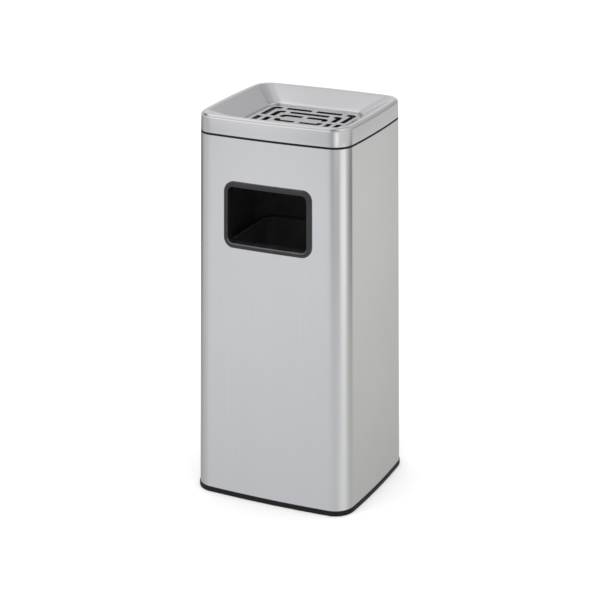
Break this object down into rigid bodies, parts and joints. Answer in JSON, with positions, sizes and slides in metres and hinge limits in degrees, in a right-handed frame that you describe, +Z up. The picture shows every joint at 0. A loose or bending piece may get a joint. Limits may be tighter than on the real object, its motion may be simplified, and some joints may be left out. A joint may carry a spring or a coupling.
{
  "type": "litter bin with ash tray lid",
  "caption": "Tall rounded-rectangular brushed stainless litter bin: front opening with a black bezel, lift-off ash tray lid with slotted grate, black base ring, lift-out inner bucket.",
  "frame": {"origin": "middle of the footprint, on the floor", "axes": "+Z up, the front with the litter opening faces -Y, +X to the right seen from the front"},
  "size_m": [0.2852, 0.2424, 0.61],
  "materials": {
    "brushed_stainless": "fine vertical brushing, hairline finish",
    "grate_stainless": "fine brushing, polished edges",
    "plain_steel": "mill finish",
    "zinc_steel": "zinc plated sheet with faint spangle",
    "zinc_fastener": "bright zinc plating",
    "spring_steel": "blued spring steel",
    "black_trim": "satin black",
    "black_base": "satin black, fine moulded grain",
    "pad_rubber": "matte black",
    "bezel_plastic": "satin charcoal, fine moulded grain",
    "frame_plastic": "matte black",
    "black_enamel": "semi-matte black enamel",
    "bucket_paint": "semi-matte black paint",
    "bail_zinc": "zinc plated wire",
    "grip_plastic": "black moulded plastic"
  },
  "bodies": {
    "body": {"body_shell": "brushed_stainless", "back_seam_strip": "plain_steel", "rim_trim": "black_trim", "base_ring": "black_base", "floor_pads": "pad_rubber", "base_plate": "zinc_steel", "base_screws": "zinc_fastener", "base_nuts": "zinc_fastener", "opening_bezel": "bezel_plastic", "bezel_clips": "spring_steel"},
    "lid": {"lid_pressing": "brushed_stainless", "lid_frame": "frame_plastic", "lid_studs": "zinc_fastener", "lid_nuts": "zinc_fastener"},
    "pan": {"ash_pan": "black_enamel"},
    "grate": {"ash_grate": "grate_stainless"},
    "bucket": {"bucket_wall": "bucket_paint", "bucket_rim_wire": "plain_steel", "bucket_floor": "bucket_paint", "bail_ears": "bucket_paint", "ear_rivets": "zinc_fastener"},
    "bail": {"bail_wire": "bail_zinc"},
    "grip": {"bail_grip": "grip_plastic"}
  },
  "joints": [
    {"name": "lid_lift", "type": "slide", "parent": "body", "child": "lid", "axis": [0, 0, 1], "range_m": [0, 0.62]},
    {"name": "grate_lift", "type": "slide", "parent": "lid", "child": "grate", "axis": [0, 0, 1], "range_m": [0, 0.12]},
    {"name": "pan_lift", "type": "slide", "parent": "lid", "child": "pan", "axis": [0, 0, 1], "range_m": [0, 0.072]},
    {"name": "bucket_lift", "type": "slide", "parent": "body", "child": "bucket", "axis": [0, 0, 1], "range_m": [0, 0.62]},
    {"name": "bail_swing", "type": "hinge", "parent": "bucket", "child": "bail", "pos_m": [0, 0, 0.369], "axis": [1, 0, 0], "range_deg": [0, 90]},
    {"name": "grip_spin", "type": "hinge", "parent": "bail", "child": "grip", "pos_m": [0, 0.106, 0.369], "axis": [1, 0, 0], "continuous": true}
  ],
  "couplings": [
    {"joint": "bucket_lift", "follows": "lid_lift", "ratio": 1},
    {"joint": "pan_lift", "follows": "grate_lift", "ratio": 0.6}
  ]
}
